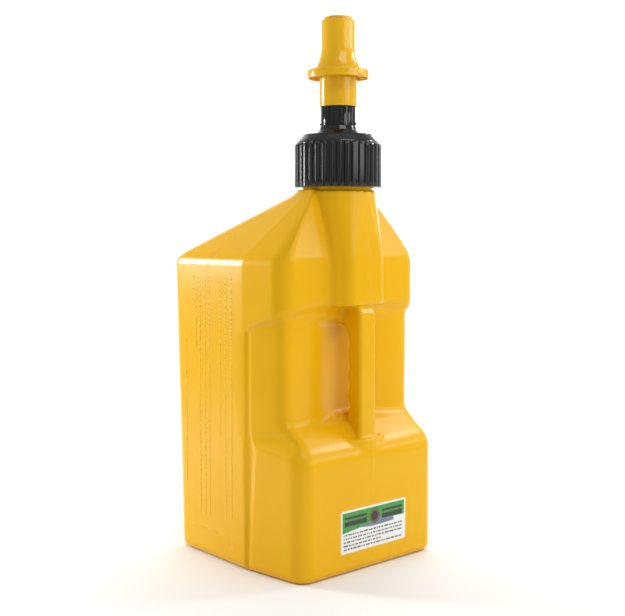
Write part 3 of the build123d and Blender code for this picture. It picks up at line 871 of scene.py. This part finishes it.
def make_collar():
    """Ribbed collar with a bevelled shoulder, open at the top and the foot."""
    step = [(COLLAR_CORE, COLLAR_FOOT + 0.8 + i * (COLLAR_RIB_TOP - COLLAR_FOOT - 5) / 6, 0) for i in range(7)]
    crown = [(COLLAR_CORE, COLLAR_RIB_TOP - 3.2 + i * 0.6, 0) for i in range(6)]
    return turned("collar", [
        (COLLAR_BORE, COLLAR_FOOT, 0.5), (COLLAR_CORE - 0.6, COLLAR_FOOT, 0.3), *step, *crown,
        (COLLAR_CORE - 0.6, COLLAR_RIB_TOP + 1.6, 1.5), (COLLAR_RADIUS - 8.0, COLLAR_TOP - 3.6, 2.5),
        (COLLAR_RADIUS - 9.6, COLLAR_TOP - 1.9, 0.6), (COLLAR_RADIUS - 10.6, COLLAR_TOP, 1.0),
        (EYE, COLLAR_TOP, 0.6), (EYE, COLLAR_TOP - 4, 0.3), (COLLAR_BORE, COLLAR_TOP - 4, 0.3),
    ], black_plastic, segments=COLLAR_RIBS * 18, bulge=collar_ribs, sharp=70)


rides(make_collar(), "collar", "black_plastic", "screw_collar")
collar_thread = helix_ridge(
    "collar_thread", COLLAR_BORE, -THREAD_DEPTH, THREAD_FOOT - THREAD_PITCH / 2, THREAD_TURNS, black_plastic)
rides(collar_thread, "collar", "black_plastic")

# ---------------------------------------------------------------- nozzle base
base_low, base_high = (np.array(corner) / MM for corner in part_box("nozzle_base"))
FLANGE_FOOT, STALK_TOP = float(base_low[2]), float(base_high[2])
FLANGE_RADIUS = float(base_high[0])
STALK_RADIUS = 21.6
STALK_BORE = 18.4
CONE_TOP = COLLAR_TOP + 11
SLEEVE_FOOT = float(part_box("slide_sleeve")[0][2]) / MM
SPLINES = 24
SPLINE_RISE = 0.9
SPLINE_ROOT = STALK_RADIUS - SPLINE_RISE
TABS = 6
WEBS = 3
SPIDER_TOP = CONE_TOP + 3.5
HUB_HEIGHT = 10.0


def stalk_splines(angle, radius, height):
    """Flat-topped splines on the part of the stalk below the sleeve."""
    u = (angle * SPLINES / (2 * math.pi)) % 1
    spline = np.clip((0.30 - np.abs(u - 0.5)) / 0.05, 0, 1)
    on_stalk = (np.abs(radius - SPLINE_ROOT) < 0.05) & (height > CONE_TOP + 0.3)
    return SPLINE_RISE * spline * on_stalk


def around(count, radius, z, start=0.0):
    """Matrices spread round the neck's axis, X pointing out."""
    out = []
    for i in range(count):
        turn = Matrix.Rotation(start + 2 * math.pi * i / count, 4, "Z")
        middle = Matrix.Translation(Vector((0, NECK_Y, z)) * MM)
        out.append(middle @ turn @ Matrix.Translation(Vector((radius, 0, 0)) * MM))
    return out


stalk = turned("nozzle_stalk", [
    (24.8, FLANGE_FOOT, 0), (FLANGE_RADIUS, FLANGE_FOOT, 0.6), (FLANGE_RADIUS, FLANGE_FOOT + 5.5, 0.6),
    (28.0, FLANGE_FOOT + 5.5, 0.3), (28.0, COLLAR_TOP + 1.0, 0.8), (23.6, CONE_TOP - 5, 3.0),
    (22.2, CONE_TOP, 0.6), (SPLINE_ROOT, CONE_TOP + 0.2, 0.1), (SPLINE_ROOT, CONE_TOP + 0.8, 0),
    (SPLINE_ROOT, SLEEVE_FOOT - 0.2, 0), (STALK_RADIUS, SLEEVE_FOOT, 0.1),
    (STALK_RADIUS, STALK_TOP - 7.2, 0), (STALK_RADIUS, STALK_TOP, 0.6), (STALK_BORE, STALK_TOP, 0.4),
    (STALK_BORE, CONE_TOP - 3.2, 1.0), (24.8, COLLAR_TOP - 4, 1.0),
], black_plastic, segments=SPLINES * 16, bulge=stalk_splines, sharp=35)
rides(stalk, "nozzle", "black_plastic", "nozzle_base")
tab_places = around(TABS, 22.3, CONE_TOP + 2.6)
tabs = bars("nozzle_tabs", [((2.2, 4.8, 2.2), place) for place in tab_places], black_plastic, 0.5)
rides(tabs, "nozzle", "black_plastic")
web_places = around(WEBS, 12.8, SPIDER_TOP - 2.5)
webs = bars("nozzle_webs", [((12.2, 5.0, 5.0), place) for place in web_places], black_plastic, 0.6)
rides(webs, "nozzle", "black_plastic")
hub = turned("nozzle_hub", [
    (6.05, SPIDER_TOP - HUB_HEIGHT, 0.2), (10.0, SPIDER_TOP - HUB_HEIGHT, 0.6),
    (10.0, SPIDER_TOP, 0.6), (6.05, SPIDER_TOP, 0.2),
], black_plastic, segments=64)
rides(hub, "nozzle", "black_plastic")

# ---------------------------------------------------------------- sliding sleeve
SLEEVE_TOP = float(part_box("slide_sleeve")[1][2]) / MM
FLARE_TOP = SLEEVE_TOP - 35
SHROUD_TOP = FLARE_TOP - 26.5
SHROUD_FOOT = SHROUD_TOP - 10
SHROUD_RADIUS = float(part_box("slide_sleeve")[1][0]) / MM
SKIRT = 23.5
SLEEVE_BORE = 21.9
TIP_RADIUS = 21.0
TIP_BORE = 18.4
FLARE_RADIUS = 29.7
FLARE_STEPS = 14
GUSSETS = 12


def flare_line():
    """Trumpet between the stop flange and the spout."""
    out = []
    for k in range(FLARE_STEPS + 1):
        t = k / FLARE_STEPS
        radius = TIP_RADIUS + (FLARE_RADIUS - TIP_RADIUS) * (1 - t) ** 1.7
        out.append((radius, SHROUD_TOP + 0.2 + (FLARE_TOP - SHROUD_TOP) * t, 0))
    return out


sleeve = turned("sleeve", [
    (TIP_BORE, SLEEVE_TOP, 0.5), (TIP_BORE, SHROUD_TOP + 2.5, 0.3), (SLEEVE_BORE, SHROUD_TOP + 2.5, 0.3),
    (SLEEVE_BORE, SLEEVE_FOOT, 0.3), (SKIRT, SLEEVE_FOOT, 0.4), (SKIRT, SHROUD_TOP - 2.4, 1.5),
    (SHROUD_RADIUS - 2.4, SHROUD_TOP - 2.4, 1.0), (SHROUD_RADIUS - 2.4, SHROUD_FOOT, 0.5),
    (SHROUD_RADIUS, SHROUD_FOOT, 0.9), (SHROUD_RADIUS, SHROUD_TOP, 1.6), (32.0, SHROUD_TOP, 1.2),
    *flare_line(), (TIP_RADIUS, SLEEVE_TOP - 6, 0), (TIP_RADIUS, SLEEVE_TOP, 1.2),
], cap_plastic, segments=144, sharp=50)
rides(sleeve, "sleeve", "yellow_plastic", "slide_sleeve")
RIB_LENGTH = SHROUD_RADIUS - 1.2 - SKIRT
gusset_places = around(GUSSETS, SKIRT + RIB_LENGTH / 2 - 0.3, SHROUD_TOP - 5.0)
gussets = bars("sleeve_gussets", [((RIB_LENGTH, 1.6, 6.6), place) for place in gusset_places], cap_plastic, 0.4)
rides(gussets, "sleeve", "yellow_plastic")

# ---------------------------------------------------------------- stem
STEM_FOOT, STEM_TOP = float(tip_low[2]), float(tip_high[2])
BRIM = float(tip_high[0])
SEAL_GROOVE = 16.1
stem = turned("stem", [
    (4.0, STEM_FOOT, 0.4), (6.0, STEM_FOOT, 0.6), (6.0, SLEEVE_TOP - 11, 1.5), (14.0, SLEEVE_TOP - 8, 0.8),
    (BRIM, SLEEVE_TOP - 5, 0.5), (BRIM, SLEEVE_TOP - 2.1, 0),
    (SEAL_GROOVE, SLEEVE_TOP - 2.1, 0), (SEAL_GROOVE, SLEEVE_TOP + 0.1, 0),
    (BRIM - 0.2, SLEEVE_TOP + 0.1, 0.2), (BRIM - 0.2, STEM_TOP - 2.2, 1.4), (12.0, STEM_TOP - 0.9, 3.0),
    (4.0, STEM_TOP, 0.5),
], cap_plastic, segments=128, sharp=45)
rides(stem, "nozzle", "yellow_plastic", "valve_stem")

# ---------------------------------------------------------------- return spring
SPRING_WIRE = 0.9                           # wire's radius
SPRING_TURNS = 8


def make_spring(low, high):
    """Coil of round wire, as its own piece; the real spring shortens as the sleeve comes down."""
    reach = float(high[0] - low[0]) / 2 - SPRING_WIRE
    rise = float(high[2] - low[2]) - 2 * SPRING_WIRE
    per_turn, sides = 36, 12
    steps = SPRING_TURNS * per_turn
    points = []
    for i in range(steps + 1):
        turn = 2 * math.pi * i / per_turn
        for k in range(sides):
            side = 2 * math.pi * k / sides
            radius = reach + SPRING_WIRE * math.cos(side)
            height = low[2] + SPRING_WIRE * (1 + math.sin(side)) + rise * i / steps
            points.append((radius * math.cos(turn), NECK_Y + radius * math.sin(turn), height))
    faces = [tuple(range(sides)), tuple(steps * sides + k for k in reversed(range(sides)))]
    for i in range(steps):
        for k in range(sides):
            a, b = i * sides + k, i * sides + (k + 1) % sides
            faces.append((a, a + sides, b + sides, b))
    coil = new_object("spring_coil", points, faces, steel)
    fix_normals(coil)
    return coil


spring_low, spring_high = (np.array(corner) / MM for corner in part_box("return_spring"))
spring = rides(make_spring(spring_low, spring_high), "nozzle", "steel", "return_spring")
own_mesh(spring)

# ---------------------------------------------------------------- CAD pieces shown as they are
AS_BUILT = {
    "neck_gasket": rubber, "stalk_seal": rubber, "tip_seal": rubber, "stem_washer": steel, "stem_nut": steel,
    "spring_washer": steel, "vent_pipe": dull_black, "vent_clip": steel,
}
for node, material in AS_BUILT.items():
    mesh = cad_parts[node].data
    mesh.materials.clear()
    mesh.materials.append(material)

# ---------------------------------------------------------------- floor and light
CAMERA_TURN = math.radians(44.98)
CAMERA_DIP = math.radians(3.68)


def make_floor():
    """Pale sweep: floor that curves up into a wall behind the jug."""
    n = Nodes("floor")
    n.link(n.ramp(n.noise(3.0, 4.0), [(0.3, (0.86, 0.86, 0.86)), (0.7, (0.90, 0.90, 0.90))]),
           n.shader.inputs["Base Color"])
    n.link(n.spread(n.noise(9.0, 4.0), 0.8, 0.95), n.shader.inputs["Roughness"])
    n.link(n.bump(n.noise(300.0, 3.0), 0.0001), n.shader.inputs["Normal"])
    near, reach, curve, height, side = -3.2, 2.4, 1.0, 3.4, 2.0
    line = [(near, 0.0), (reach - curve, 0.0)]
    line += [(reach - curve + curve * math.sin(t), curve - curve * math.cos(t))
             for t in np.linspace(0.06, math.pi / 2, 24)]
    line.append((reach, height))
    across = Vector((math.sin(CAMERA_TURN - math.pi / 2), math.cos(CAMERA_TURN - math.pi / 2), 0))
    along = Vector((math.sin(CAMERA_TURN), math.cos(CAMERA_TURN), 0))
    points = []
    for forward, up in line:
        for edge in (-side, side):
            points.append(tuple(along * forward + across * edge + Vector((0, 0, up))))
    faces = [(2 * i, 2 * i + 1, 2 * i + 3, 2 * i + 2) for i in range(len(line) - 1)]
    mesh = bpy.data.meshes.new("floor")
    mesh.from_pydata(points, [], faces)
    mesh.shade_smooth()
    return placed("floor", mesh, n.material)


def softbox(name, spot, target, width, height, power):
    """Rectangular studio light aimed at a point."""
    light = bpy.data.lights.new(name, "AREA")
    light.shape = "RECTANGLE"
    light.size = width
    light.size_y = height
    light.energy = power
    obj = bpy.data.objects.new(name, light)
    obj.location = spot
    obj.rotation_euler = (Vector(target) - Vector(spot)).to_track_quat("-Z", "Y").to_euler()
    scene.collection.objects.link(obj)


make_floor()

# Softboxes: name, spot, target, width, height, power
LIGHTS = [
    ("back_left", (-0.62, 1.15, 0.58), (-0.12, 0.04, 0.36), 0.34, 0.40, 13.0),
    ("front", (0.40, -2.00, 0.88), (0.0, 0.0, 0.5), 1.3, 0.6, 6.5),
    ("right", (1.80, -0.85, 0.70), (0.0, 0.0, 0.3), 0.5, 1.2, 2.4),
    ("right_back", (1.50, 0.55, 0.80), (0.0, 0.0, 0.4), 0.6, 0.8, 3.6),
    ("top", (0.05, -0.15, 2.20), (0.0, 0.0, 0.3), 1.3, 1.3, 1.0),
    ("top_front", (-0.30, -1.40, 1.90), (0.0, 0.0, 0.3), 1.2, 0.8, 10.5),
    ("facets", (1.45, -1.50, 1.00), (0.0, 0.0, 0.42), 0.8, 0.30, 4.0),
    ("ledges", (1.43, -0.62, 1.40), (0.0, 0.0, 0.18), 0.5, 0.30, 7.0),
    ("backdrop", (0.90, 0.90, 2.60), (2.00, 2.00, 0.6), 2.2, 0.8, 42.0),
]
WORLD_STRENGTH = 0.45
for light in LIGHTS:
    softbox(*light)

world = bpy.data.worlds.new("studio")
world.use_nodes = True
world.node_tree.nodes["Background"].inputs["Color"].default_value = (1, 1, 1, 1)
world.node_tree.nodes["Background"].inputs["Strength"].default_value = WORLD_STRENGTH
scene.world = world
scene.view_settings.view_transform = "Standard"

# ---------------------------------------------------------------- camera
camera = bpy.data.cameras.new("camera")
camera.lens = 66.81
camera.sensor_width = 36
camera_object = bpy.data.objects.new("camera", camera)
camera_object.location = (-1.05664, -1.08687, 0.41492)
look = Vector((math.sin(CAMERA_TURN), math.cos(CAMERA_TURN), -math.tan(CAMERA_DIP)))
camera_object.rotation_euler = look.to_track_quat("-Z", "Y").to_euler()
scene.collection.objects.link(camera_object)
scene.camera = camera_object
